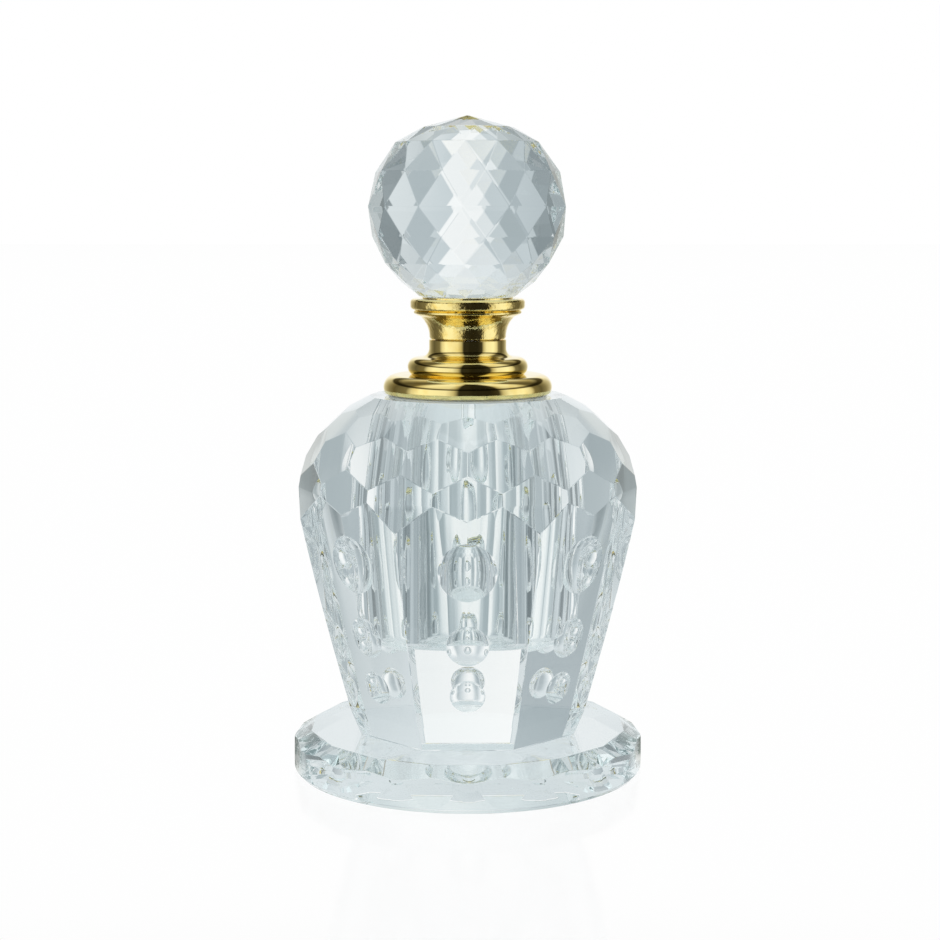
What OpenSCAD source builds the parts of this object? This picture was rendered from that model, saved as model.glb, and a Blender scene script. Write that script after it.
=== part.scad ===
// Faceted crystal perfume bottle with a round foot, a gold-plated neck and a cut-crystal ball stopper.
// Millimetres, +Z up. The origin is on the axis, at the underside of the foot disc.

/* [Foot disc] */
// Radius of the foot disc at its round lower rim
disc_r = 27; // [25:0.5:30]
// Thickness of the foot disc
disc_h = 6.5; // [5:0.5:9]
// Radius of the disc's flat top face, inside its bevel
disc_top_r = 24; // [22:0.5:24.5]
// Thickness of the clear film that bonds the body to the disc
film_t = 0.1; // [0.05:0.05:0.2]

/* [Bottle body] */
// Radius to the flats where the body is widest
belly_r = 26; // [25:0.5:28]
// Radius to the flats at the body's lower end
heel_r = 16.3; // [15.5:0.1:17]
// Height of the small heel band that ends the long flats
heel_h = 3.7; // [2:0.1:5]
// Height of the body above the disc
body_h = 51.4; // [50:0.2:53]
// Radius of the perfume chamber
bore_r = 11; // [10.5:0.25:11.5]
// Thickness of solid crystal below the perfume chamber
floor_t = 15.4; // [13:0.2:17]

/* [Lens cuts] */
// Height above the disc, rim radius and depth of the three lens cuts on each flat
lens_cuts = [[28, 4.6, 2.4], [16.7, 3.2, 1.7], [8.8, 2.6, 1.4]];

/* [Neck] */
// Largest radius of the gold flange
flange_r = 12.9; // [12.5:0.1:13.5]
// Largest radius of the ring above the flange
ring_r = 9.2; // [8.8:0.1:9.6]
// Radius of the narrow waist
waist_r = 5.9; // [5.8:0.1:6.4]
// Height of the collar above the bottle's mouth
collar_h = 8.5; // [8.2:0.1:9.5]
// Radius of the bore that the plug seals in
seal_r = 3.6; // [3.4:0.1:3.8]

/* [Stopper] */
// Radius of the rim that the ball sits in
rim_r = 8.75; // [8.5:0.05:9.5]
// Height of the gold cup under the ball
cup_h = 6.1; // [5.8:0.05:6.7]
// Radius of the turning stub inside the plug
stub_r = 2; // [1.8:0.1:2.2]
// Distance from the ball's centre to its widest corners
ball_r = 15.2; // [14.5:0.1:16]
// Radial running clearance of the plug and the stub
running_gap = 0.05; // [0.02:0.01:0.1]

/* [Hidden] */
$fn = 96;
slab = 0.01;          // thickness of the end plates that a facet row is stretched between
facets = 16;          // facets in a row round the shoulder and the disc
flats = 8;            // long flats of the lower body
disc_chamfer = 0.6;
disc_side_tilt = 5;
disc_bevel_tilt = 58;
heel_tilt = -21.3;    // a row's tilt is the angle at which its facets face upwards
flat_tilt = -14.7;
// Tilt, radius as a share of the belly, height above the disc and half-step turn of each shoulder row
shoulder_rows = [[10, 0.977, 39, 0], [30, 0.896, 43.9, 1], [47, 0.781, 47.7, 0], [62, 0.615, 50.7, 1]];
// Latitude, and distance from the centre as a share of the ball's radius, of each ring of corners
ball_rings = [[-48, 1], [-33.6, 1], [-17, 1], [0, 1], [20.5, 0.98], [41, 0.96], [59.5, 0.905]];
ball_corners = 14;    // corners in a ring; each ring is half a step on from the one below
ball_start = -92.3;   // where the lowest ring's first corner stands, measured from +X
ball_base_r = 7.4;    // radius to the corners of the flat underside
ball_tip = 0.9;       // height of the point as a share of the ball's radius
body_z = disc_h + film_t;
mouth_z = body_z + body_h;
floor_z = body_z + floor_t;
bore_chamfer = 1;
gasket_t = 0.35;
collar_z = mouth_z + gasket_t;
collar_top_z = mouth_z + collar_h;
skirt_r = bore_r - 0.3;
skirt_drop = 1.6;     // how far the collar's skirt reaches into the bottle's mouth
flange_round = 1.9;
ring_round = 1.42;
ring_rise = 4;        // from the collar's underside to the middle of the ring
waist_round = 1.4;
ring_z = collar_z + ring_rise;
wall = 0.8;           // metal thickness of the collar
well_r = ring_r - 1.8; // hollow inside the ring
well_low_z = ring_z - 1.6;
well_top_z = ring_z + 1;
liner_top_z = collar_top_z - 0.8;
liner_low_z = collar_z - 1.3;
liner_lead = 0.4;     // chamfer that the plug is guided in by
cup_z = collar_top_z + 0.1;
cup_top_z = cup_z + cup_h;
rim_h = 1.7;
rim_round = 0.6;
cup_round = 4.2;
plug_r = seal_r - running_gap;
plug_low_z = cup_z - 8.2;
plug_lead = 0.6;
groove_z = plug_low_z + 2;
groove_h = 1.2;
groove_depth = 0.6;
clip_h = 0.9;
clip_r = stub_r + 0.9;
clip_gap = 0.1;
clip_z = plug_low_z - clip_gap - clip_h;
stub_end_r = stub_r - 0.5;
stub_z = clip_z - 0.2;
seat_rise = 0.2;      // how far the pad under the ball stands above the rim
seat_r = ball_base_r - 0.5;
ball_film_t = 0.15;
ball_low_z = cup_top_z + seat_rise + ball_film_t;
ball_drop = 13.45;    // from the ball's centre to its flat underside
ball_z = ball_low_z + ball_drop;

// Points of a regular outline whose sides lie at radius r
function flat_outline(r, n, turn) =
    [for (i = [0 : n - 1]) let (a = turn + (i + 0.5) * 360 / n) r / cos(180 / n) * [cos(a), sin(a)]];

// Points along an arc, from angle a to angle b
function arc(c, r, a, b, steps = 12) =
    [for (i = [0 : steps]) let (t = a + (b - a) * i / steps) c + r * [cos(t), sin(t)]];

// Radius of a facet row at height z, where its facets pass through radius r at height at
function row_r(r, at, tilt, z) = r - (z - at) * tan(tilt);

module plate(r, n, turn, z) {
    translate([0, 0, z]) linear_extrude(slab) polygon(flat_outline(r, n, turn));
}

// Solid inside one row of facets, from height low to height high
module facet_row(r, at, tilt, n, turn, low, high) {
    hull() {
        plate(row_r(r, at, tilt, low), n, turn, low);
        plate(row_r(r, at, tilt, high), n, turn, high);
    }
}

module tube(outer, inner, low, high) {
    rotate_extrude() polygon([[inner, low], [outer, low], [outer, high], [inner, high]]);
}

module foot_disc() {
    color([0.86, 0.93, 0.93, 0.6]) intersection() {
        rotate_extrude() polygon([[0, 0], [disc_r - disc_chamfer, 0], [disc_r, disc_chamfer],
                                  [disc_r, disc_h], [0, disc_h]]);
        facet_row(disc_r, disc_chamfer, disc_side_tilt, facets, 180 / facets, -1, disc_h + 1);
        facet_row(disc_top_r, disc_h, disc_bevel_tilt, facets, 0, -1, disc_h + 1);
    }
}

module foot_bond() {
    color([0.9, 0.95, 0.95, 0.5])
        translate([0, 0, disc_h]) linear_extrude(film_t) polygon(flat_outline(heel_r - 0.3, flats, 0));
}

// Radius to the long flats at height h above the disc
function flat_r(h) = row_r(heel_r, 0, heel_tilt, heel_h) - (h - heel_h) * tan(flat_tilt);

module shoulder(top) {
    intersection_for (row = shoulder_rows)
        facet_row(row[1] * belly_r, row[2], row[0], facets, row[3] * 180 / facets, -1, top);
}

module body_blank() {
    top = body_h + 1;
    translate([0, 0, body_z]) intersection() {
        translate([-belly_r * 2, -belly_r * 2, 0]) cube([belly_r * 4, belly_r * 4, body_h]);
        facet_row(heel_r, 0, heel_tilt, flats, 0, -1, top);
        facet_row(flat_r(0), 0, flat_tilt, flats, 0, -1, top);
        shoulder(top);
    }
}

// Ball that cuts a lens of rim radius r and the given depth, h above the disc
module lens_cutter(h, r, depth) {
    cut_r = (r * r + depth * depth) / (2 * depth);
    out = cut_r - depth;
    translate([flat_r(h) + out * cos(flat_tilt), 0, body_z + h + out * sin(flat_tilt)]) sphere(cut_r);
}

module bottle_body() {
    color([0.86, 0.92, 0.95, 0.6]) difference() {
        body_blank();
        rotate_extrude() polygon([[0, floor_z], [bore_r - bore_chamfer, floor_z],
                                  [bore_r, floor_z + bore_chamfer], [bore_r, mouth_z + 1],
                                  [0, mouth_z + 1]]);
        for (side = [0 : flats - 1], cut = lens_cuts)
            rotate(side * 360 / flats) lens_cutter(cut[0], cut[1], cut[2]);
    }
}

module collar_gasket() {
    color([0.93, 0.92, 0.85, 0.7]) tube(flange_r - 0.8, skirt_r, mouth_z, collar_z);
}

module collar_bond() {
    color([0.93, 0.92, 0.85, 0.7]) tube(bore_r, skirt_r, mouth_z - skirt_drop, mouth_z);
}

module neck_collar() {
    flange_c = [flange_r - flange_round, collar_z + 0.9];
    ring_c = [ring_r - ring_round, ring_z];
    waist_c = [waist_r + waist_round, ring_z + ring_round + waist_round];
    outer = concat([[skirt_r, collar_z]], arc(flange_c, flange_round, -28, 90),
                   arc(ring_c, ring_round, -55, 80), arc(waist_c, waist_round, 262, 180),
                   [[waist_r, collar_top_z - 0.15], [waist_r - 0.15, collar_top_z]]);
    inner = [[waist_r - wall, collar_top_z], [waist_r - wall, well_top_z],
             [well_r, well_top_z], [well_r, well_low_z],
             [skirt_r - wall, well_low_z], [skirt_r - wall, mouth_z - skirt_drop],
             [skirt_r, mouth_z - skirt_drop]];
    color([0.85, 0.68, 0.25]) rotate_extrude() polygon(concat(outer, inner));
}

module neck_liner() {
    color([0.95, 0.95, 0.93]) rotate_extrude()
        polygon([[seal_r + liner_lead, liner_low_z], [skirt_r - wall, liner_low_z],
                 [skirt_r - wall, well_low_z], [well_r, well_low_z],
                 [well_r, well_top_z], [waist_r - wall, well_top_z],
                 [waist_r - wall, liner_top_z], [seal_r, liner_top_z],
                 [seal_r, liner_low_z + liner_lead]]);
}

module plug_sleeve() {
    bore = stub_r + running_gap;
    groove = plug_r - groove_depth;
    head = waist_r - wall - 0.2;
    color([0.97, 0.97, 0.95]) rotate_extrude()
        polygon([[bore, plug_low_z], [plug_r - plug_lead / 2, plug_low_z], [plug_r, plug_low_z + plug_lead],
                 [plug_r, groove_z], [groove, groove_z], [groove, groove_z + groove_h],
                 [plug_r, groove_z + groove_h], [plug_r, liner_top_z], [head, liner_top_z],
                 [head, cup_z], [bore, cup_z]]);
}

module plug_ring() {
    color([0.9, 0.9, 0.9]) rotate_extrude()
        translate([plug_r - groove_depth / 2, groove_z + groove_h / 2]) circle(groove_depth / 2);
}

module stub_clip() {
    color([0.75, 0.75, 0.75]) tube(clip_r, stub_end_r, clip_z, clip_z + clip_h);
}

module stopper_cup() {
    rim_low_z = cup_top_z - rim_h;
    outer = concat([[stub_r, cup_z], [waist_r - 0.1, cup_z]],
                   arc([waist_r + cup_round - 0.05, cup_z + 0.3], cup_round, 180, 131),
                   [[rim_r - 0.95, rim_low_z - 0.8], [rim_r - 0.55, rim_low_z - 0.6],
                    [rim_r - 0.55, rim_low_z - 0.1], [rim_r - 0.75, rim_low_z]],
                   arc([rim_r - rim_round, rim_low_z + rim_round], rim_round, -90, 0, 6),
                   arc([rim_r - rim_round, cup_top_z - rim_round], rim_round, 0, 90, 6));
    seat = [[seat_r, cup_top_z], [seat_r, cup_top_z + seat_rise], [0, cup_top_z + seat_rise]];
    stub = [[0, stub_z], [stub_end_r, stub_z], [stub_end_r, clip_z + clip_h], [stub_r, clip_z + clip_h]];
    color([0.85, 0.68, 0.25]) rotate_extrude() polygon(concat(outer, seat, stub));
}

module ball_bond() {
    color([0.9, 0.95, 0.95, 0.5]) translate([0, 0, ball_low_z - ball_film_t])
        cylinder(r = seat_r - 0.3, h = ball_film_t);
}

// Corners of the ball's ring i, at radius r and height z from the ball's centre
function ball_ring(i, r, z) =
    [for (k = [0 : ball_corners - 1]) let (a = ball_start + (k + i / 2) * 360 / ball_corners)
        [r * cos(a), r * sin(a), z]];

module crystal_ball() {
    n = ball_corners;
    top = len(ball_rings);
    corners = concat(ball_ring(0, ball_base_r, -ball_drop),
                     [for (i = [1 : top]) let (row = ball_rings[i - 1], r = ball_r * row[1])
                         each ball_ring(i, r * cos(row[0]), r * sin(row[0]))],
                     [[0, 0, ball_r * ball_tip]]);
    bands = [for (i = [0 : top - 1], k = [0 : n - 1])
        let (a = i * n + k, b = i * n + (k + 1) % n) each [[a, a + n, b], [b, a + n, b + n]]];
    point = [for (k = [0 : n - 1]) [top * n + k, (top + 1) * n, top * n + (k + 1) % n]];
    color([0.86, 0.92, 0.95, 0.6]) translate([0, 0, ball_z])
        polyhedron(corners, concat([[for (k = [0 : n - 1]) k]], bands, point));
}

foot_disc();
foot_bond();
bottle_body();
collar_gasket();
collar_bond();
neck_collar();
neck_liner();
plug_sleeve();
plug_ring();
stub_clip();
stopper_cup();
ball_bond();
crystal_ball();
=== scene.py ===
"""Looks of a faceted crystal perfume bottle with a gold-plated neck and a cut-crystal ball stopper."""

import math

import bmesh
import bpy
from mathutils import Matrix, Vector
from mathutils import noise


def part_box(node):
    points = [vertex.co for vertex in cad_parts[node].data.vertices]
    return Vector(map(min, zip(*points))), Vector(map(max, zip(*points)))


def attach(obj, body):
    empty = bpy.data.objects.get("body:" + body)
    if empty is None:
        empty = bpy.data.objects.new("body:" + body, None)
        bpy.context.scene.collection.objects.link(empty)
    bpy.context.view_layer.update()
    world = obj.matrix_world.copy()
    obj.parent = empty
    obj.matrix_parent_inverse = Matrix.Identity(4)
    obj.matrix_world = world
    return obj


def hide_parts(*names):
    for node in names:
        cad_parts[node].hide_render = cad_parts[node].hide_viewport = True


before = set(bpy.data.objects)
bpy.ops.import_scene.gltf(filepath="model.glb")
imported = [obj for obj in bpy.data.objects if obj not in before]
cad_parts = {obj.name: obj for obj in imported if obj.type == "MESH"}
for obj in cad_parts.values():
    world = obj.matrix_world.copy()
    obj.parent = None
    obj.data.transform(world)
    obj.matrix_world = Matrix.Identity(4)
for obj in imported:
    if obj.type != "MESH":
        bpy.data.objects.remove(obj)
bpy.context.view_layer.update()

MM = 0.001
TURN = 2 * math.pi


def box_mm(node):
    """Lowest and highest corners of a CAD node, in millimetres."""
    low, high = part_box(node)
    return [v / MM for v in low], [v / MM for v in high]


def tan(degrees):
    return math.tan(math.radians(degrees))


# ---------------------------------------------------------------- sizes, in millimetres

BODY_LOW, BODY_HIGH = box_mm("bottle_body")
BODY_Z = BODY_LOW[2]
MOUTH_Z = BODY_HIGH[2]
DISC_HIGH = box_mm("foot_disc")[1]
BALL_Z = box_mm("crystal_ball")[0][2]
COLLAR_LOW, COLLAR_HIGH = box_mm("neck_collar")
CUP_LOW, CUP_HIGH = box_mm("stopper_cup")

FACETS = 16              # facets in a row round the bottle
CORNERS = 2 * FACETS     # corners in a ring where two rows meet
FLATS = 8                # long flats of the lower body
HALF_STEP = math.pi / FACETS
COS_HALF = math.cos(HALF_STEP)
HEEL_R = 16.3            # radius to the flats at the very bottom of the body
HEEL_H = 3.7
HEEL_TILT = 21.3
FLAT_TILT = 14.7
# Tilt, radius to the facets and height above the body's underside of each shoulder row
SHOULDER_ROWS = [(10, 25.4, 39.0), (30, 23.3, 43.9), (47, 20.3, 47.7), (62, 16.0, 50.7)]
TIP_H = 35.6             # height of the facet tips that stand on the flats' middles
SIDE_H = 37.8            # height of the corners between the facets of the lowest row
CORNER_H = 33.8          # height of the facet tips that stand on the corners between flats
CORNER_R = 27.0          # radius of those corners
BORE_R = 11.0
FLOOR_H = 15.4           # crystal below the chamber
# Height above the body's underside, rim radius and depth of the lens cuts on each flat
LENS_CUTS = [(28.0, 4.6, 2.4), (16.7, 3.2, 1.7), (8.8, 2.6, 1.4)]
ARRIS = 0.07             # width of the polished arrises
ARRIS_LEAST = 4          # degrees between facets from which their edge is polished
CREASE = 9               # degrees from which an edge in the crystal looks sharp
TURNED_CREASE = 35       # the same for turned pieces
TURNED_STEPS = 192       # steps round a turned piece


# ---------------------------------------------------------------- mesh helpers

def ring_point(radius, angle, z):
    return Vector((radius * math.cos(angle), radius * math.sin(angle), z))


def mesh_from(bm, name):
    """A new object, in metres, from a mesh drawn in millimetres."""
    bmesh.ops.recalc_face_normals(bm, faces=bm.faces)
    bmesh.ops.scale(bm, vec=(MM, MM, MM), verts=bm.verts)
    mesh = bpy.data.meshes.new(name)
    bm.to_mesh(mesh)
    bm.free()
    piece = bpy.data.objects.new(name, mesh)
    bpy.context.scene.collection.objects.link(piece)
    return piece


def slice_off(bm, distance, tilt, angle):
    """Cuts a flat facet that faces up by tilt and lies at a distance from the origin."""
    normal = Vector((math.cos(tilt) * math.cos(angle), math.cos(tilt) * math.sin(angle), math.sin(tilt)))
    cut = bmesh.ops.bisect_plane(bm, geom=bm.verts[:] + bm.edges[:] + bm.faces[:], dist=1e-5,
                                 plane_co=normal * distance, plane_no=normal, clear_outer=True)
    rim = [e for e in cut["geom_cut"] if isinstance(e, bmesh.types.BMEdge)]
    if rim:
        bmesh.ops.contextual_create(bm, geom=rim)


def polish_arrises(bm):
    """A narrow bevel along every edge between facets."""
    sharp = [e for e in bm.edges
             if len(e.link_faces) == 2 and e.calc_face_angle(0) > math.radians(ARRIS_LEAST)]
    bmesh.ops.bevel(bm, geom=sharp, offset=ARRIS, segments=1, profile=0.5, affect="EDGES",
                    clamp_overlap=True)


def mark_creases(mesh, least_degrees, stays_soft=None):
    """Marks the edges between faces that meet at more than an angle as sharp."""
    bm = bmesh.new()
    bm.from_mesh(mesh)
    for edge in bm.edges:
        crease = len(edge.link_faces) == 2 and edge.calc_face_angle(0) > math.radians(least_degrees)
        if crease and stays_soft and all(stays_soft(v.co / MM) for v in edge.verts):
            crease = False
        edge.smooth = not crease
    for face in bm.faces:
        face.smooth = True
    bm.to_mesh(mesh)
    bm.free()


def cut_away(piece, cutter):
    """Subtracts a closed mesh from a piece, and deletes the cutter."""
    boolean = piece.modifiers.new("cut", "BOOLEAN")
    boolean.operation = "DIFFERENCE"
    boolean.object = cutter
    boolean.solver = "EXACT"
    view_layer = bpy.context.view_layer
    view_layer.update()
    result = bpy.data.meshes.new_from_object(piece.evaluated_get(view_layer.depsgraph))
    piece.modifiers.clear()
    old = piece.data
    piece.data = result
    bpy.data.meshes.remove(old)
    bpy.data.objects.remove(cutter)


def glue_face(piece, z):
    """Gives the flat face that lies across the axis at a height the look of a glued joint."""
    piece.data.materials.append(glue("cured_glue"))
    for face in piece.data.polygons:
        spot = face.center / MM
        if abs(spot.z - z) < 0.01 and math.hypot(spot.x, spot.y) < 1:
            face.material_index = 1


def lathe(name, outline):
    """A piece turned from a closed outline of (radius, height) points, in millimetres."""
    bm = bmesh.new()
    rings = []
    for radius, z in outline:
        if radius < 1e-6:
            rings.append([bm.verts.new((0, 0, z))] * TURNED_STEPS)
        else:
            rings.append([bm.verts.new(ring_point(radius, TURN * i / TURNED_STEPS, z))
                          for i in range(TURNED_STEPS)])
    for low, high in zip(rings, rings[1:] + rings[:1]):
        for i in range(TURNED_STEPS):
            j = (i + 1) % TURNED_STEPS
            corners = []
            for v in (low[i], low[j], high[j], high[i]):
                if v not in corners:
                    corners.append(v)
            if len(corners) > 2:
                bm.faces.new(corners)
    piece = mesh_from(bm, name)
    mark_creases(piece.data, TURNED_CREASE)
    return piece


def arc(centre, radius, start, end, steps=12):
    """Outline points along an arc, with its angles in degrees."""
    points = []
    for i in range(steps + 1):
        a = math.radians(start + (end - start) * i / steps)
        points.append((centre[0] + radius * math.cos(a), centre[1] + radius * math.sin(a)))
    return points


# ---------------------------------------------------------------- crystal body

def row_radius(row, height):
    tilt, radius, at = SHOULDER_ROWS[row]
    return radius - (height - at) * tan(tilt)


def height_where(row, share, other):
    """Height at which one row's radius is a share of another row's radius."""
    tilt_a, radius_a, at_a = SHOULDER_ROWS[row]
    tilt_b, radius_b, at_b = SHOULDER_ROWS[other]
    a = radius_a + at_a * tan(tilt_a)
    b = share * (radius_b + at_b * tan(tilt_b))
    return (a - b) / (tan(tilt_a) - share * tan(tilt_b))


def flat_radius(height):
    heel_top = HEEL_R + HEEL_H * tan(HEEL_TILT)
    return heel_top + (height - HEEL_H) * tan(FLAT_TILT)


def heel_corners(radius, z):
    """Corners of the body's underside, for a radius to its flats. Corner k ends flat k."""
    corner_r = radius / math.cos(math.pi / FLATS)
    return [ring_point(corner_r, TURN * (k + 0.5) / FLATS, z) for k in range(FLATS)]


def meeting_ring(low):
    """Corners where a shoulder row meets the row above it: the tips of both, in turn."""
    high = low + 1
    top_tip = height_where(high, COS_HALF, low)       # at the middle of the lower row's facets
    foot_tip = height_where(high, 1 / COS_HALF, low)  # at the middle of the upper row's facets
    corners = {}
    for i in range(CORNERS):
        angle = i * HALF_STEP
        if i % 2 == low % 2:
            corners[i] = ring_point(row_radius(low, top_tip), angle, top_tip)
        else:
            corners[i] = ring_point(row_radius(high, foot_tip), angle, foot_tip)
    return corners


def waist_ring():
    """Corners where the lowest shoulder row stands on the long flats."""
    corners = {}
    for i in range(CORNERS):
        angle = i * HALF_STEP
        if i % 2:
            corners[i] = ring_point(row_radius(0, SIDE_H) / COS_HALF, angle, SIDE_H)
        elif i % 4 == 0:
            corners[i] = ring_point(row_radius(0, TIP_H), angle, TIP_H)
        else:
            corners[i] = ring_point(CORNER_R, angle, CORNER_H)
    return corners


class Shell:
    """A mesh whose corners are shared by place."""

    def __init__(self):
        self.bm = bmesh.new()
        self.at = {}

    def corner(self, point):
        key = tuple(round(c, 4) for c in point)
        if key not in self.at:
            self.at[key] = self.bm.verts.new(point)
        return self.at[key]

    def face(self, points):
        corners = []
        for point in points:
            corner = self.corner(point)
            if corner not in corners:
                corners.append(corner)
        return self.bm.faces.new(corners)


def between(a, b, parts):
    """Points from a towards b, without b."""
    return [a.lerp(b, i / parts) for i in range(parts)]


EDGE_PARTS = 4
PANEL_ROWS = 10
PANEL_BEND = 2.6   # how late the flats begin to bend in towards the shoulder


def long_flat(shell, waist, side):
    """One long flat, from the heel up to the tips of the shoulder's lowest facets."""
    first = 4 * side - 2
    top = []
    for i in range(first, first + 4):
        top += between(waist[i % CORNERS], waist[(i + 1) % CORNERS], EDGE_PARTS)
    top.append(waist[(first + 4) % CORNERS])
    middle = 4 * side * HALF_STEP
    out = Vector((math.cos(middle), math.sin(middle), 0))
    across = Vector((-math.sin(middle), math.cos(middle), 0))
    half_heel = flat_radius(HEEL_H) * tan(180 / FLATS)
    half_top = abs(top[0].dot(across))
    rows = []
    for j in range(PANEL_ROWS + 1):
        t = j / PANEL_ROWS
        row = []
        for point in top:
            x = point.dot(across)
            share = x / half_top
            foot = across * (half_heel * share) + out * flat_radius(HEEL_H) + Vector((0, 0, HEEL_H))
            spot = foot.lerp(point, t)
            flat = flat_radius(spot.z)
            drop = (flat_radius(point.z) - point.dot(out)) * t ** PANEL_BEND
            row.append(across * spot.dot(across) + out * (flat - drop) + Vector((0, 0, spot.z)))
        rows.append(row)
    for low, high in zip(rows, rows[1:]):
        for i in range(len(low) - 1):
            shell.face([low[i], low[i + 1], high[i + 1], high[i]])
    heel = heel_corners(HEEL_R, 0)
    shell.face([heel[side - 1], heel[side]] + rows[0][::-1])


def lowest_facet(shell, waist, ring, i):
    """A facet of the lowest shoulder row, whose foot is a point on a flat or on a corner."""
    left, foot, right = waist[(i - 1) % CORNERS], waist[i], waist[(i + 1) % CORNERS]
    point = between(left, foot, EDGE_PARTS) + between(foot, right, EDGE_PARTS) + [right]
    head = [ring[(i + 1) % CORNERS], ring[i], ring[(i - 1) % CORNERS]]
    if i % 4 == 0:
        shell.face(point + head)
    else:
        shell.face(point)
        shell.face([left, right] + head)


def body_shell():
    """The cut outside of the body, closed at its mouth and underside."""
    shell = Shell()
    waist = waist_ring()
    rings = [meeting_ring(low) for low in range(len(SHOULDER_ROWS) - 1)]
    for side in range(FLATS):
        long_flat(shell, waist, side)
    for i in range(0, CORNERS, 2):
        lowest_facet(shell, waist, rings[0], i)
    for row in range(1, len(SHOULDER_ROWS) - 1):
        for i in range(row % 2, CORNERS, 2):
            low, high = rings[row - 1], rings[row]
            shell.face([low[(i - 1) % CORNERS], low[i], low[(i + 1) % CORNERS],
                        high[(i + 1) % CORNERS], high[i], high[(i - 1) % CORNERS]])
    last = len(SHOULDER_ROWS) - 1
    top_h = MOUTH_Z - BODY_Z
    mouth = [ring_point(row_radius(last, top_h) / COS_HALF, i * HALF_STEP, top_h) for i in range(CORNERS)]
    low = rings[last - 1]
    for i in range(last % 2, CORNERS, 2):
        shell.face([low[(i - 1) % CORNERS], low[i], low[(i + 1) % CORNERS],
                    mouth[(i + 1) % CORNERS], mouth[(i - 1) % CORNERS]])
    shell.face([mouth[i] for i in range((last + 1) % 2, CORNERS, 2)])
    shell.face(heel_corners(HEEL_R, 0))
    return shell.bm


STREAKS = 360            # steps round the chamber's drilled wall
STREAK_DEPTH = 0.02
STREAK_SEED = 7.3
BROAD_MARKS = 7          # marks to each radian of the wall
FINE_MARKS = 17
FLOOR_ROUND = 1.2        # round at the foot of the chamber's wall
FLOOR_DISH = 0.12        # unevenness of the chamber's floor


def streak(angle, height):
    """How far the drill's fine lengthwise marks stand out of the chamber wall."""
    broad = noise.noise(ring_point(BROAD_MARKS, angle, STREAK_SEED))
    fine = noise.noise(ring_point(FINE_MARKS, angle, STREAK_SEED + height * 0.004))
    return STREAK_DEPTH * (1.5 * broad + fine)


def chamber_cutter():
    """The drilled perfume chamber, with a rounded foot and a slightly uneven floor."""
    bm = bmesh.new()
    wall_low = FLOOR_H + FLOOR_ROUND
    top = MOUTH_Z - BODY_Z + 2
    outline = [(BORE_R * k / 8, FLOOR_H) for k in range(1, 8)]
    outline += arc((BORE_R - FLOOR_ROUND, wall_low), FLOOR_ROUND, -90, 0, 6)
    outline += [(BORE_R, wall_low + (top - wall_low) * k / 10) for k in range(1, 11)]
    rings = []
    for radius, z in outline:
        ring = []
        for k in range(STREAKS):
            angle = TURN * k / STREAKS
            marks = streak(angle, z) * min(1, radius / BORE_R)
            dish = FLOOR_DISH * noise.noise(ring_point(0.3 * radius, angle, 2))
            lift = dish if z < FLOOR_H + 0.5 * FLOOR_ROUND else 0
            ring.append(bm.verts.new(ring_point(radius + marks, angle, z + lift)))
        rings.append(ring)
    centre = bm.verts.new((0, 0, FLOOR_H))
    crown = bm.verts.new((0, 0, top))
    for k in range(STREAKS):
        n = (k + 1) % STREAKS
        bm.faces.new([centre, rings[0][n], rings[0][k]])
        bm.faces.new([crown, rings[-1][k], rings[-1][n]])
        for low, high in zip(rings, rings[1:]):
            bm.faces.new([low[k], low[n], high[n], high[k]])
    for face in bm.faces:
        face.smooth = True
    cutter = mesh_from(bm, "chamber_cutter")
    cutter.location.z = BODY_Z * MM
    return cutter


def lens_cutters():
    """Balls that cut three lenses into every long flat."""
    bm = bmesh.new()
    tilt = math.radians(FLAT_TILT)
    for side in range(FLATS):
        angle = TURN * side / FLATS
        for height, radius, depth in LENS_CUTS:
            cut_r = (radius ** 2 + depth ** 2) / (2 * depth)
            out = cut_r - depth
            centre = ring_point(flat_radius(height) + out * math.cos(tilt), angle,
                                height - out * math.sin(tilt))
            ball = bmesh.ops.create_icosphere(bm, subdivisions=5, radius=cut_r)
            bmesh.ops.translate(bm, verts=ball["verts"], vec=centre)
    for face in bm.faces:
        face.smooth = True
    cutter = mesh_from(bm, "lens_cutters")
    cutter.location.z = BODY_Z * MM
    return cutter


def crystal_body():
    bm = body_shell()
    bmesh.ops.recalc_face_normals(bm, faces=bm.faces)
    polish_arrises(bm)
    bmesh.ops.translate(bm, verts=bm.verts, vec=(0, 0, BODY_Z))
    piece = mesh_from(bm, "cut_body")
    for cutter in (chamber_cutter(), lens_cutters()):
        cut_away(piece, cutter)
    chamber_edge = BORE_R + 0.3

    def in_chamber(point):
        return math.hypot(point.x, point.y) < chamber_edge and point.z < MOUTH_Z - 0.2

    mark_creases(piece.data, CREASE, in_chamber)
    piece.data.materials.clear()
    piece.data.materials.append(crystal("cut_crystal"))
    glue_face(piece, BODY_Z)
    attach(piece, "bottle")
    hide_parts("bottle_body")
    return piece


# ---------------------------------------------------------------- foot disc and ball

DISC_TOP_R = 24.0
DISC_CHAMFER = 0.6
DISC_SIDE_TILT = math.radians(5)
DISC_BEVEL_TILT = math.radians(58)
DISC_STEPS = 256


def outline_joint(bm, z):
    """Sets off the part of the disc's top face that the body is glued to."""
    level = [f for f in bm.faces if abs(f.calc_center_median().z - z) < 0.01]
    top = max(level, key=lambda f: f.calc_area())
    rim = list(top.edges)
    bmesh.ops.delete(bm, geom=[top], context="FACES_ONLY")
    corners = [bm.verts.new(corner) for corner in heel_corners(HEEL_R - ARRIS, z)]
    seam = [bm.edges.new(pair) for pair in zip(corners, corners[1:] + corners[:1])]
    bmesh.ops.triangle_fill(bm, edges=rim + seam, use_beauty=True)
    bm.faces.new(corners)


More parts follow.
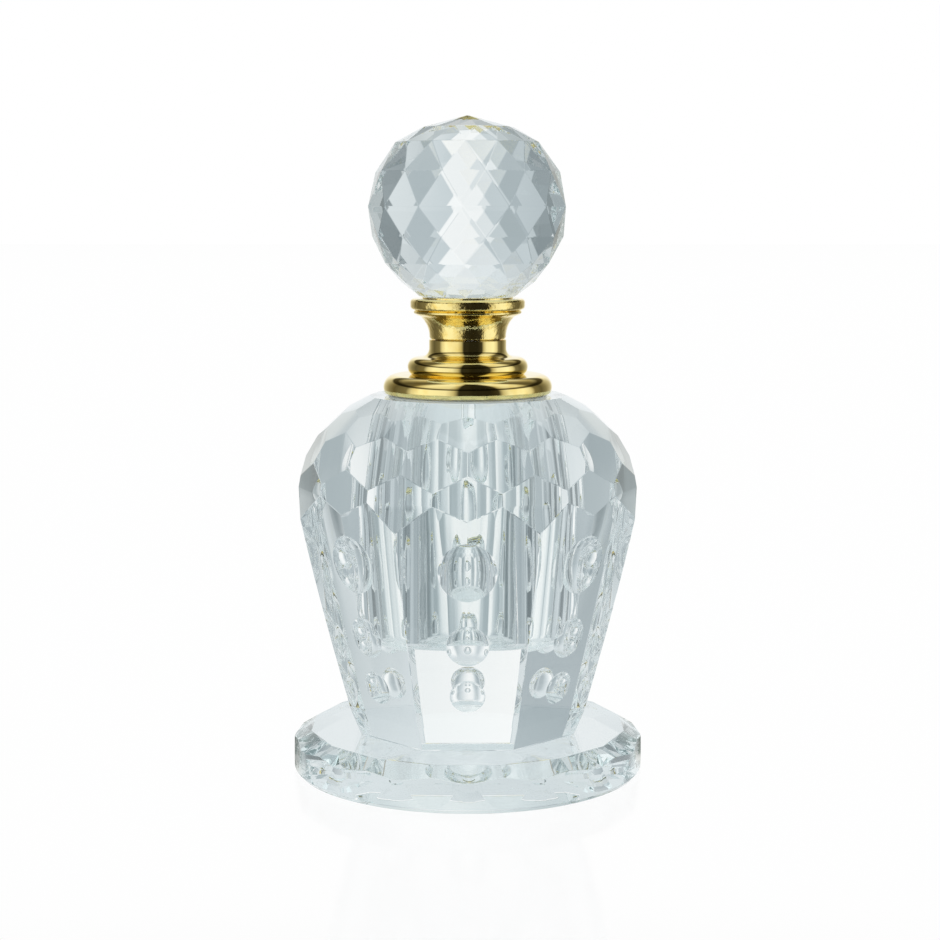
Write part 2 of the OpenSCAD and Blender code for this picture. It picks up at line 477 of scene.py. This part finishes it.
def crystal_disc():
    radius, height = DISC_HIGH[0], DISC_HIGH[2]
    bm = bmesh.new()
    rings = [[bm.verts.new(ring_point(r, TURN * k / DISC_STEPS, z)) for k in range(DISC_STEPS)]
             for r, z in ((radius - DISC_CHAMFER, 0), (radius, DISC_CHAMFER), (radius, height))]
    for low, high in zip(rings, rings[1:]):
        for k in range(DISC_STEPS):
            n = (k + 1) % DISC_STEPS
            bm.faces.new([low[k], low[n], high[n], high[k]])
    bm.faces.new(rings[0])
    bm.faces.new(rings[-1])
    side = radius * math.cos(DISC_SIDE_TILT) + DISC_CHAMFER * math.sin(DISC_SIDE_TILT)
    bevel = DISC_TOP_R * math.cos(DISC_BEVEL_TILT) + height * math.sin(DISC_BEVEL_TILT)
    for k in range(FACETS):
        slice_off(bm, side, DISC_SIDE_TILT, TURN * (k + 0.5) / FACETS)
        slice_off(bm, bevel, DISC_BEVEL_TILT, TURN * k / FACETS)
    polish_arrises(bm)
    outline_joint(bm, height)
    piece = mesh_from(bm, "cut_foot")
    mark_creases(piece.data, CREASE)
    piece.data.materials.append(crystal("cut_crystal"))
    glue_face(piece, height)
    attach(piece, "bottle")
    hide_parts("foot_disc")
    return piece


BALL_R = 15.2            # from the ball's centre to its widest corners
BALL_DROP = 13.45
BALL_BASE_R = 7.4
BALL_TIP = 0.9           # height of the point as a share of the ball's radius
BALL_CORNERS = 14        # corners in a ring; each ring is half a step on from the one below
BALL_START = math.radians(-92.3)
# Latitude, and distance from the centre as a share of the ball's radius, of each ring of corners
BALL_RINGS = [(-48, 1), (-33.6, 1), (-17, 1), (0, 1), (20.5, 0.98), (41, 0.96), (59.5, 0.905)]


def cut_ball():
    bm = bmesh.new()
    step = TURN / BALL_CORNERS
    heights = [(BALL_BASE_R, -BALL_DROP)]
    for latitude, share in BALL_RINGS:
        up = math.radians(latitude)
        heights.append((BALL_R * share * math.cos(up), BALL_R * share * math.sin(up)))
    rings = []
    for i, (radius, z) in enumerate(heights):
        rings.append([bm.verts.new(ring_point(radius, BALL_START + (k + i / 2) * step, z))
                      for k in range(BALL_CORNERS)])
    point = bm.verts.new((0, 0, BALL_R * BALL_TIP))
    bm.faces.new(rings[0])
    for k in range(BALL_CORNERS):
        n = (k + 1) % BALL_CORNERS
        for low, high in zip(rings, rings[1:]):
            bm.faces.new([low[k], low[n], high[k]])
            bm.faces.new([low[n], high[n], high[k]])
        bm.faces.new([rings[-1][k], rings[-1][n], point])
    bmesh.ops.recalc_face_normals(bm, faces=bm.faces)
    polish_arrises(bm)
    bmesh.ops.translate(bm, verts=bm.verts, vec=(0, 0, BALL_Z + BALL_DROP))
    piece = mesh_from(bm, "cut_ball")
    piece.data.materials.append(crystal("cut_crystal"))
    glue_face(piece, BALL_Z)
    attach(piece, "stopper")
    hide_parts("crystal_ball")
    return piece


# ---------------------------------------------------------------- gold-plated pieces

FLANGE_R = COLLAR_HIGH[0]
FLANGE_ROUND = 1.9
RING_R = 9.2
RING_ROUND = 1.42
WAIST_R = 5.9
WAIST_ROUND = 1.4
SKIRT_R = BORE_R - 0.3
WALL = 0.8
WELL_R = RING_R - 1.8    # hollow inside the ring
COLLAR_Z = MOUTH_Z + 0.35
RING_Z = COLLAR_Z + 4
WELL_LOW_Z = RING_Z - 1.6
WELL_TOP_Z = RING_Z + 1


def gold_collar():
    flange = (FLANGE_R - FLANGE_ROUND, COLLAR_Z + 0.9)
    ring = (RING_R - RING_ROUND, RING_Z)
    waist = (WAIST_R + WAIST_ROUND, RING_Z + RING_ROUND + WAIST_ROUND)
    low, top = COLLAR_LOW[2], COLLAR_HIGH[2]
    outline = [(SKIRT_R, low), (SKIRT_R, COLLAR_Z)]
    outline += arc(flange, FLANGE_ROUND, -28, 90, 20)
    outline += arc(ring, RING_ROUND, -55, 80, 20)
    outline += arc(waist, WAIST_ROUND, 262, 180, 16)
    outline += arc((WAIST_R - 0.15, top - 0.15), 0.15, 0, 90, 4)
    outline += [(WAIST_R - WALL, top), (WAIST_R - WALL, WELL_TOP_Z), (WELL_R, WELL_TOP_Z)]
    outline += [(WELL_R, WELL_LOW_Z), (SKIRT_R - WALL, WELL_LOW_Z), (SKIRT_R - WALL, low)]
    piece = lathe("gilt_collar", outline)
    piece.data.materials.append(gold_plate("polished_gold"))
    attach(piece, "bottle")
    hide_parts("neck_collar")
    return piece


CUP_ROUND = 4.2          # hollow of the cup's trumpet
RIM_H = 1.7
RIM_ROUND = 0.6
BEAD_ROUND = 0.25        # small bead under the rim
STUB_R = 2.0
STUB_END_R = 1.5         # the stub's thin end, which the clip grips
STUB_END_H = 1.1
PAD_RISE = 0.2


def gold_cup():
    foot = COLLAR_HIGH[2] + 0.1
    pad = CUP_HIGH[2]
    top = pad - PAD_RISE
    rim_r = CUP_HIGH[0]
    rim_low = top - RIM_H
    pad_r = BALL_BASE_R - 0.5
    stub_low = CUP_LOW[2]
    outline = [(0, stub_low), (STUB_END_R - 0.1, stub_low), (STUB_END_R, stub_low + 0.1)]
    outline += [(STUB_END_R, stub_low + STUB_END_H), (STUB_R, stub_low + STUB_END_H), (STUB_R, foot)]
    outline += [(WAIST_R - 0.2, foot), (WAIST_R - 0.1, foot + 0.1)]
    outline += arc((WAIST_R - 0.05 + CUP_ROUND, foot + 0.3), CUP_ROUND, 180, 131, 20)
    outline += [(rim_r - 0.95, rim_low - 0.8)]
    outline += arc((rim_r - 0.75, rim_low - 0.35), BEAD_ROUND, -60, 60, 8)
    outline += [(rim_r - 0.8, rim_low - 0.02)]
    outline += arc((rim_r - RIM_ROUND, rim_low + RIM_ROUND), RIM_ROUND, -90, 0, 8)
    outline += arc((rim_r - RIM_ROUND, top - RIM_ROUND), RIM_ROUND, 0, 90, 8)
    outline += [(pad_r, top), (pad_r, pad - 0.03), (pad_r - 0.03, pad), (0, pad)]
    piece = lathe("gilt_cup", outline)
    piece.data.materials.append(gold_plate("cast_gold"))
    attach(piece, "stopper")
    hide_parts("stopper_cup")
    return piece


# ---------------------------------------------------------------- materials

def new_material(name):
    """A new material and its Principled shader, or a material that is already there and no shader."""
    if name in bpy.data.materials:
        return bpy.data.materials[name], None
    material = bpy.data.materials.new(name)
    material.use_nodes = True
    return material, material.node_tree.nodes["Principled BSDF"]


def add_group_socket(tree, name, kind, out=False, value=None):
    socket = tree.interface.new_socket(name, in_out="OUTPUT" if out else "INPUT", socket_type=kind)
    if value is not None:
        socket.default_value = value
    return socket


def mottle_group():
    """Uneven polish: a height and a share of dull spots, from noise in the piece's own place."""
    if "uneven_polish" in bpy.data.node_groups:
        return bpy.data.node_groups["uneven_polish"]
    tree = bpy.data.node_groups.new("uneven_polish", "ShaderNodeTree")
    add_group_socket(tree, "Scale", "NodeSocketFloat", value=400.0)
    add_group_socket(tree, "Spots", "NodeSocketFloat", value=0.2)
    add_group_socket(tree, "Height", "NodeSocketFloat", out=True)
    add_group_socket(tree, "Dullness", "NodeSocketFloat", out=True)
    nodes, links = tree.nodes, tree.links
    given = nodes.new("NodeGroupInput")
    result = nodes.new("NodeGroupOutput")
    place = nodes.new("ShaderNodeTexCoord")
    cloud = nodes.new("ShaderNodeTexNoise")
    cloud.inputs["Detail"].default_value = 4
    links.new(place.outputs["Object"], cloud.inputs["Vector"])
    links.new(given.outputs["Scale"], cloud.inputs["Scale"])
    spots = nodes.new("ShaderNodeMapRange")
    spots.inputs["From Min"].default_value = 0.48
    spots.inputs["From Max"].default_value = 0.75
    links.new(cloud.outputs["Fac"], spots.inputs["Value"])
    links.new(given.outputs["Spots"], spots.inputs["To Max"])
    links.new(cloud.outputs["Fac"], result.inputs["Height"])
    links.new(spots.outputs["Result"], result.inputs["Dullness"])
    return tree


# Painted glow: past this many bounces the crystal gives off faint light of its own.
TRAPPED_AFTER = 10       # bounces after which light is taken to be caught inside the crystal


def crystal(name):
    """Lead-free cut crystal: clear, very lightly tinted, polished to a gloss.

    Past ten bounces inside a cut edge, the crystal gives off a little painted glow in the studio's grey
    at every further bounce, so that the edge doesn't turn black.
    """
    material, shader = new_material(name)
    if shader is None:
        return material
    shader.inputs["Transmission Weight"].default_value = 1.0
    shader.inputs["IOR"].default_value = 1.52
    shader.inputs["Roughness"].default_value = 0.0
    tree = material.node_tree
    place = tree.nodes.new("ShaderNodeTexCoord")
    cloud = tree.nodes.new("ShaderNodeTexNoise")
    cloud.inputs["Scale"].default_value = 60
    tint = tree.nodes.new("ShaderNodeMix")
    tint.data_type = "RGBA"
    tint.inputs["A"].default_value = (0.955, 0.985, 0.98, 1)
    tint.inputs["B"].default_value = (0.97, 0.99, 0.985, 1)
    tree.links.new(place.outputs["Object"], cloud.inputs["Vector"])
    tree.links.new(cloud.outputs["Fac"], tint.inputs["Factor"])
    tree.links.new(tint.outputs["Result"], shader.inputs["Base Color"])
    path = tree.nodes.new("ShaderNodeLightPath")
    trapped = tree.nodes.new("ShaderNodeMath")
    trapped.operation = "GREATER_THAN"
    trapped.inputs[1].default_value = TRAPPED_AFTER
    tree.links.new(path.outputs["Ray Depth"], trapped.inputs[0])
    # Painted glow: after TRAPPED_AFTER bounces the crystal emits a faint blue-grey that stands in for
    # light reaching it.
    painted_glow = tree.nodes.new("ShaderNodeMix")
    painted_glow.data_type = "RGBA"
    painted_glow.inputs["A"].default_value = (0, 0, 0, 1)
    painted_glow.inputs["B"].default_value = (0.017, 0.023, 0.024, 1)
    tree.links.new(trapped.outputs["Value"], painted_glow.inputs["Factor"])
    tree.links.new(painted_glow.outputs["Result"], shader.inputs["Emission Color"])
    shader.inputs["Emission Strength"].default_value = 1.0
    clear = tree.nodes.new("ShaderNodeBsdfTransparent")
    clear.inputs["Color"].default_value = (0.96, 0.98, 0.98, 1)
    mix = tree.nodes.new("ShaderNodeMixShader")
    output = tree.nodes["Material Output"]
    tree.links.new(path.outputs["Is Shadow Ray"], mix.inputs[0])
    tree.links.new(shader.outputs["BSDF"], mix.inputs[1])
    tree.links.new(clear.outputs["BSDF"], mix.inputs[2])
    tree.links.new(mix.outputs["Shader"], output.inputs["Surface"])
    return material


def glue(name):
    """Cured glue that matches the crystal: light goes straight through a glued joint, past dull specks."""
    material, shader = new_material(name)
    if shader is None:
        return material
    shader.inputs["Base Color"].default_value = (0.9, 0.92, 0.9, 1)
    shader.inputs["Roughness"].default_value = 0.1
    tree = material.node_tree
    mottle = tree.nodes.new("ShaderNodeGroup")
    mottle.node_tree = mottle_group()
    mottle.inputs["Spots"].default_value = 0.03
    clear = tree.nodes.new("ShaderNodeBsdfTransparent")
    clear.inputs["Color"].default_value = (0.98, 0.99, 0.99, 1)
    mix = tree.nodes.new("ShaderNodeMixShader")
    tree.links.new(mottle.outputs["Dullness"], mix.inputs[0])
    tree.links.new(clear.outputs["BSDF"], mix.inputs[1])
    tree.links.new(shader.outputs["BSDF"], mix.inputs[2])
    tree.links.new(mix.outputs["Shader"], tree.nodes["Material Output"].inputs["Surface"])
    return material


def gold_plate(name):
    """Bright yellow gold plating over a die casting, with slight unevenness in its polish."""
    cast = name.startswith("cast")
    material, shader = new_material(name)
    if shader is None:
        return material
    tree = material.node_tree
    shader.inputs["Metallic"].default_value = 1.0
    mottle = tree.nodes.new("ShaderNodeGroup")
    mottle.node_tree = mottle_group()
    mottle.inputs["Scale"].default_value = 900 if cast else 350
    mottle.inputs["Spots"].default_value = 1.0
    rough = tree.nodes.new("ShaderNodeMapRange")
    rough.inputs["To Min"].default_value = 0.03
    rough.inputs["To Max"].default_value = 0.1 if cast else 0.05
    tree.links.new(mottle.outputs["Dullness"], rough.inputs["Value"])
    tree.links.new(rough.outputs["Result"], shader.inputs["Roughness"])
    hue = tree.nodes.new("ShaderNodeMix")
    hue.data_type = "RGBA"
    hue.inputs["A"].default_value = (0.93, 0.79, 0.34, 1)
    hue.inputs["B"].default_value = (0.85, 0.64, 0.18, 1)
    tree.links.new(mottle.outputs["Dullness"], hue.inputs["Factor"])
    tree.links.new(hue.outputs["Result"], shader.inputs["Base Color"])
    bump = tree.nodes.new("ShaderNodeBump")
    bump.inputs["Strength"].default_value = 0.5 if cast else 0.15
    bump.inputs["Distance"].default_value = 0.00022 if cast else 0.00003
    tree.links.new(mottle.outputs["Height"], bump.inputs["Height"])
    tree.links.new(bump.outputs["Normal"], shader.inputs["Normal"])
    return material


def moulded(name, colour, roughness, clear=0.0):
    """Moulded plastic, rubber or spring steel, with a faint cloudiness."""
    material, shader = new_material(name)
    if shader is None:
        return material
    tree = material.node_tree
    mottle = tree.nodes.new("ShaderNodeGroup")
    mottle.node_tree = mottle_group()
    mottle.inputs["Scale"].default_value = 500
    mottle.inputs["Spots"].default_value = 1.0
    hue = tree.nodes.new("ShaderNodeMix")
    hue.data_type = "RGBA"
    hue.inputs["A"].default_value = (*colour, 1)
    hue.inputs["B"].default_value = (*[0.93 * c for c in colour], 1)
    tree.links.new(mottle.outputs["Dullness"], hue.inputs["Factor"])
    tree.links.new(hue.outputs["Result"], shader.inputs["Base Color"])
    shader.inputs["Roughness"].default_value = roughness
    shader.inputs["Transmission Weight"].default_value = clear
    bump = tree.nodes.new("ShaderNodeBump")
    bump.inputs["Strength"].default_value = 0.2
    bump.inputs["Distance"].default_value = 0.00003
    tree.links.new(mottle.outputs["Height"], bump.inputs["Height"])
    tree.links.new(bump.outputs["Normal"], shader.inputs["Normal"])
    return material


def finish_cad_nodes():
    """Materials for the CAD pieces that show as they are."""
    finishes = {
        "foot_bond": glue("cured_glue"),
        "collar_bond": glue("cured_glue"),
        "ball_bond": glue("cured_glue"),
        "collar_gasket": moulded("soft_washer", (0.93, 0.92, 0.85), 0.25, 0.7),
        "neck_liner": moulded("white_nylon", (0.92, 0.92, 0.9), 0.35),
        "plug_sleeve": moulded("white_nylon", (0.92, 0.92, 0.9), 0.35),
        "plug_ring": moulded("ring_rubber", (0.85, 0.85, 0.84), 0.4),
        "stub_clip": moulded("spring_steel", (0.7, 0.7, 0.72), 0.3),
    }
    for node, material in finishes.items():
        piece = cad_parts[node]
        piece.data.materials.clear()
        piece.data.materials.append(material)


# ---------------------------------------------------------------- camera, light and stage

CAMERA_AWAY = 0.300      # metres, as are the next two
CAMERA_HEIGHT = 0.0849
CAMERA_SIDE = 0.00035
CAMERA_DIP = 7.32        # degrees below level
CAMERA_LENS = 75.3


def set_camera():
    data = bpy.data.cameras.new("camera")
    data.lens = CAMERA_LENS
    data.sensor_width = 36
    data.clip_start = 0.01
    camera = bpy.data.objects.new("camera", data)
    camera.location = (CAMERA_SIDE, -CAMERA_AWAY, CAMERA_HEIGHT)
    camera.rotation_euler = (math.radians(90 - CAMERA_DIP), 0, 0)
    bpy.context.scene.collection.objects.link(camera)
    bpy.context.scene.camera = camera


# Azimuth, in degrees to the right of straight behind the bottle, and brightness of the studio there
PANELS = [(-180, 0.5), (-150, 0.4), (-130, 0.26), (-110, 0.55), (-90, 0.4), (-75, 0.62), (-62, 0.36),
          (-50, 0.22), (-38, 0.38), (-31, 0.62), (-27, 0.44), (-20, 0.46), (-12, 0.68), (-4, 0.9),
          (2, 1.0), (8, 0.95), (13, 0.64), (18, 0.48), (23, 0.48), (28, 0.78), (40, 0.3), (50, 0.2),
          (58, 0.4), (70, 0.7), (82, 0.46), (95, 0.5), (108, 0.56), (125, 0.36), (140, 0.62),
          (155, 0.9), (170, 0.7), (180, 0.5)]
# The same for mirrors, which show the dark cards and bright boxes that stand beside the camera
BOXES = [(-180, 0.03), (-168, 0.03), (-161, 0.6), (-150, 1.0), (-112, 1.15), (-98, 0.8), (-88, 0.2),
         (-62, 0.12), (-46, 0.25), (-26, 0.6), (-13, 1.0), (13, 1.0), (26, 0.6), (46, 0.25),
         (60, 0.12), (76, 0.2), (84, 0.8), (98, 1.15), (122, 1.0), (131, 0.6), (137, 0.05),
         (150, 0.02), (172, 0.02), (180, 0.03)]
# Share of the boxes' brightness by the sine of the height above level, where the ceiling begins at 0.6
BOX_RISE = [(-1.0, 0.35), (-0.55, 0.35), (-0.4, 1.0), (0.34, 1.0), (0.4, 0.12), (0.5, 0.12), (0.6, 0.8),
            (1.0, 1.0)]


def studio_grey(level):
    """Grey of the studio at a brightness: darker parts are bluer."""
    lit = level * level
    return [level * (tint + (1 - tint) * lit) for tint in (0.80, 0.97, 1.05)] + [1]


def card_grey(level):
    """Grey of the cards and boxes at a brightness: darker parts are browner."""
    lit = min(1, level * level)
    return [level * (tint + (1 - tint) * lit) for tint in (1.03, 0.93, 0.68)] + [1]


def studio_ramp(tree, share, levels, grey):
    """A colour ramp along (place, brightness) pairs, read at a share of the way from first to last."""
    ramp = tree.nodes.new("ShaderNodeValToRGB")
    tree.links.new(share, ramp.inputs["Fac"])
    stops = ramp.color_ramp.elements
    first = levels[0][0]
    width = levels[-1][0] - first
    for i, (at, level) in enumerate(levels):
        place = (at - first) / width
        if i == 0:
            stop = stops[0]
        elif i == len(levels) - 1:
            stop = stops[-1]
        else:
            stop = stops.new(place)
        stop.position = place
        stop.color = grey(level)
    return ramp.outputs["Color"]


def studio_group():
    """The studio's panels, as the colour that is seen in a direction from the bottle."""
    if "studio_panels" in bpy.data.node_groups:
        return bpy.data.node_groups["studio_panels"]
    tree = bpy.data.node_groups.new("studio_panels", "ShaderNodeTree")
    add_group_socket(tree, "Direction", "NodeSocketVector")
    add_group_socket(tree, "Mirror", "NodeSocketFloat", value=0.0)
    add_group_socket(tree, "Color", "NodeSocketColor", out=True)
    nodes, links = tree.nodes, tree.links
    given = nodes.new("NodeGroupInput")
    result = nodes.new("NodeGroupOutput")
    axes = nodes.new("ShaderNodeSeparateXYZ")
    links.new(given.outputs["Direction"], axes.inputs["Vector"])
    azimuth = nodes.new("ShaderNodeMath")
    azimuth.operation = "ARCTAN2"
    links.new(axes.outputs["X"], azimuth.inputs[0])
    links.new(axes.outputs["Y"], azimuth.inputs[1])
    share = nodes.new("ShaderNodeMapRange")
    share.inputs["From Min"].default_value = -math.pi
    share.inputs["From Max"].default_value = math.pi
    links.new(azimuth.outputs["Value"], share.inputs["Value"])
    height = nodes.new("ShaderNodeMapRange")
    height.inputs["From Min"].default_value = -1.0
    links.new(axes.outputs["Z"], height.inputs["Value"])
    boxes = nodes.new("ShaderNodeMix")
    boxes.data_type = "RGBA"
    boxes.blend_type = "MULTIPLY"
    boxes.inputs["Factor"].default_value = 1.0
    links.new(studio_ramp(tree, share.outputs["Result"], BOXES, card_grey), boxes.inputs["A"])
    links.new(studio_ramp(tree, height.outputs["Result"], BOX_RISE, card_grey), boxes.inputs["B"])
    choice = nodes.new("ShaderNodeMix")
    choice.data_type = "RGBA"
    links.new(given.outputs["Mirror"], choice.inputs["Factor"])
    links.new(studio_ramp(tree, share.outputs["Result"], PANELS, studio_grey), choice.inputs["A"])
    links.new(boxes.outputs["Result"], choice.inputs["B"])
    links.new(choice.outputs["Result"], result.inputs["Color"])
    return tree


def mirror_rays(tree, seen):
    """1 for rays that were mirrored last, and 0 for those that came through glass or from the camera."""
    mirrored = tree.nodes.new("ShaderNodeMath")
    mirrored.operation = "SUBTRACT"
    mirrored.use_clamp = True
    tree.links.new(seen.outputs["Is Glossy Ray"], mirrored.inputs[0])
    tree.links.new(seen.outputs["Is Transmission Ray"], mirrored.inputs[1])
    return mirrored.outputs["Value"]


def glass_share(tree, share, mirrored):
    """A share as glass sees it, which is 0 for mirrors."""
    glassy = tree.nodes.new("ShaderNodeMath")
    glassy.operation = "SUBTRACT"
    glassy.inputs[0].default_value = 1.0
    tree.links.new(mirrored, glassy.inputs[1])
    product = tree.nodes.new("ShaderNodeMath")
    product.operation = "MULTIPLY"
    tree.links.new(share, product.inputs[0])
    tree.links.new(glassy.outputs["Value"], product.inputs[1])
    return product.outputs["Value"]


def set_world():
    """A soft studio: white behind the bottle, with blue-grey and white panels all round."""
    world = bpy.data.worlds.new("studio")
    bpy.context.scene.world = world
    world.use_nodes = True
    tree = world.node_tree
    place = tree.nodes.new("ShaderNodeTexCoord")
    panels = tree.nodes.new("ShaderNodeGroup")
    panels.node_tree = studio_group()
    tree.links.new(place.outputs["Generated"], panels.inputs["Direction"])
    seen = tree.nodes.new("ShaderNodeLightPath")
    mirrored = mirror_rays(tree, seen)
    tree.links.new(mirrored, panels.inputs["Mirror"])
    axes = tree.nodes.new("ShaderNodeSeparateXYZ")
    tree.links.new(place.outputs["Generated"], axes.inputs["Vector"])
    upward = tree.nodes.new("ShaderNodeMapRange")
    upward.interpolation_type = "SMOOTHSTEP"
    upward.inputs["From Min"].default_value = 0.3
    upward.inputs["From Max"].default_value = 0.65
    upward.inputs["To Max"].default_value = 0.8
    tree.links.new(axes.outputs["Z"], upward.inputs["Value"])
    ceiling = tree.nodes.new("ShaderNodeMix")
    ceiling.data_type = "RGBA"
    ceiling.inputs["B"].default_value = studio_grey(0.85)
    tree.links.new(glass_share(tree, upward.outputs["Result"], mirrored), ceiling.inputs["Factor"])
    tree.links.new(panels.outputs["Color"], ceiling.inputs["A"])
    backdrop = tree.nodes.new("ShaderNodeMix")
    backdrop.data_type = "RGBA"
    backdrop.inputs["B"].default_value = (1, 1, 1, 1)
    tree.links.new(seen.outputs["Is Camera Ray"], backdrop.inputs["Factor"])
    tree.links.new(ceiling.outputs["Result"], backdrop.inputs["A"])
    tree.links.new(backdrop.outputs["Result"], tree.nodes["Background"].inputs["Color"])


TABLE_REACH = 6000
TABLE_DROP = 0.05        # gap under the foot, so that the two never share a plane


def set_stage():
    """A plain white table top, evenly white to the camera. To every other ray it glows with painted light:
    pale grey near the bottle and the studio's greys beyond.
    """
    bm = bmesh.new()
    bmesh.ops.create_grid(bm, x_segments=1, y_segments=1, size=TABLE_REACH)
    floor = mesh_from(bm, "table_top")
    floor.location.z = -TABLE_DROP * MM
    material = bpy.data.materials.new("table_white")
    material.use_nodes = True
    tree = material.node_tree
    tree.nodes.remove(tree.nodes["Principled BSDF"])
    place = tree.nodes.new("ShaderNodeTexCoord")
    panels = tree.nodes.new("ShaderNodeGroup")
    panels.node_tree = studio_group()
    tree.links.new(place.outputs["Object"], panels.inputs["Direction"])
    seen = tree.nodes.new("ShaderNodeLightPath")
    mirrored = mirror_rays(tree, seen)
    tree.links.new(mirrored, panels.inputs["Mirror"])
    away = tree.nodes.new("ShaderNodeVectorMath")
    away.operation = "LENGTH"
    tree.links.new(place.outputs["Object"], away.inputs[0])
    # Painted light: glass sees the table near the bottle as an even, glowing grey.
    near = tree.nodes.new("ShaderNodeMapRange")
    near.interpolation_type = "SMOOTHSTEP"
    near.inputs["From Min"].default_value = 0.05
    near.inputs["From Max"].default_value = 0.11
    near.inputs["To Min"].default_value = 1.0
    near.inputs["To Max"].default_value = 0.1
    tree.links.new(away.outputs["Value"], near.inputs["Value"])
    table = tree.nodes.new("ShaderNodeMix")
    table.data_type = "RGBA"
    table.inputs["B"].default_value = studio_grey(0.76)
    tree.links.new(glass_share(tree, near.outputs["Result"], mirrored), table.inputs["Factor"])
    tree.links.new(panels.outputs["Color"], table.inputs["A"])
    # Painted light: for rays other than the camera's, the table glows with these greys instead of being
    # lit.
    lit = tree.nodes.new("ShaderNodeEmission")
    tree.links.new(table.outputs["Result"], lit.inputs["Color"])
    white = tree.nodes.new("ShaderNodeEmission")
    white.inputs["Strength"].default_value = 1.012
    gloss = tree.nodes.new("ShaderNodeBsdfGlossy")
    gloss.inputs["Roughness"].default_value = 0.08
    sheen = tree.nodes.new("ShaderNodeMixShader")
    sheen.inputs[0].default_value = 0.08
    tree.links.new(white.outputs["Emission"], sheen.inputs[1])
    tree.links.new(gloss.outputs["BSDF"], sheen.inputs[2])
    mix = tree.nodes.new("ShaderNodeMixShader")
    tree.links.new(seen.outputs["Is Camera Ray"], mix.inputs[0])
    tree.links.new(lit.outputs["Emission"], mix.inputs[1])
    tree.links.new(sheen.outputs["Shader"], mix.inputs[2])
    tree.links.new(mix.outputs["Shader"], tree.nodes["Material Output"].inputs["Surface"])
    floor.data.materials.append(material)


def set_render_look():
    scene = bpy.context.scene
    scene.view_settings.view_transform = "Standard"
    scene.cycles.max_bounces = 24
    scene.cycles.transmission_bounces = 24
    scene.cycles.glossy_bounces = 24
    scene.cycles.transparent_max_bounces = 32
    scene.cycles.caustics_reflective = False
    scene.cycles.caustics_refractive = True
    scene.cycles.sample_clamp_indirect = 6


set_camera()
set_world()
set_stage()
set_render_look()
crystal_disc()
crystal_body()
cut_ball()
gold_collar()
gold_cup()
finish_cad_nodes()
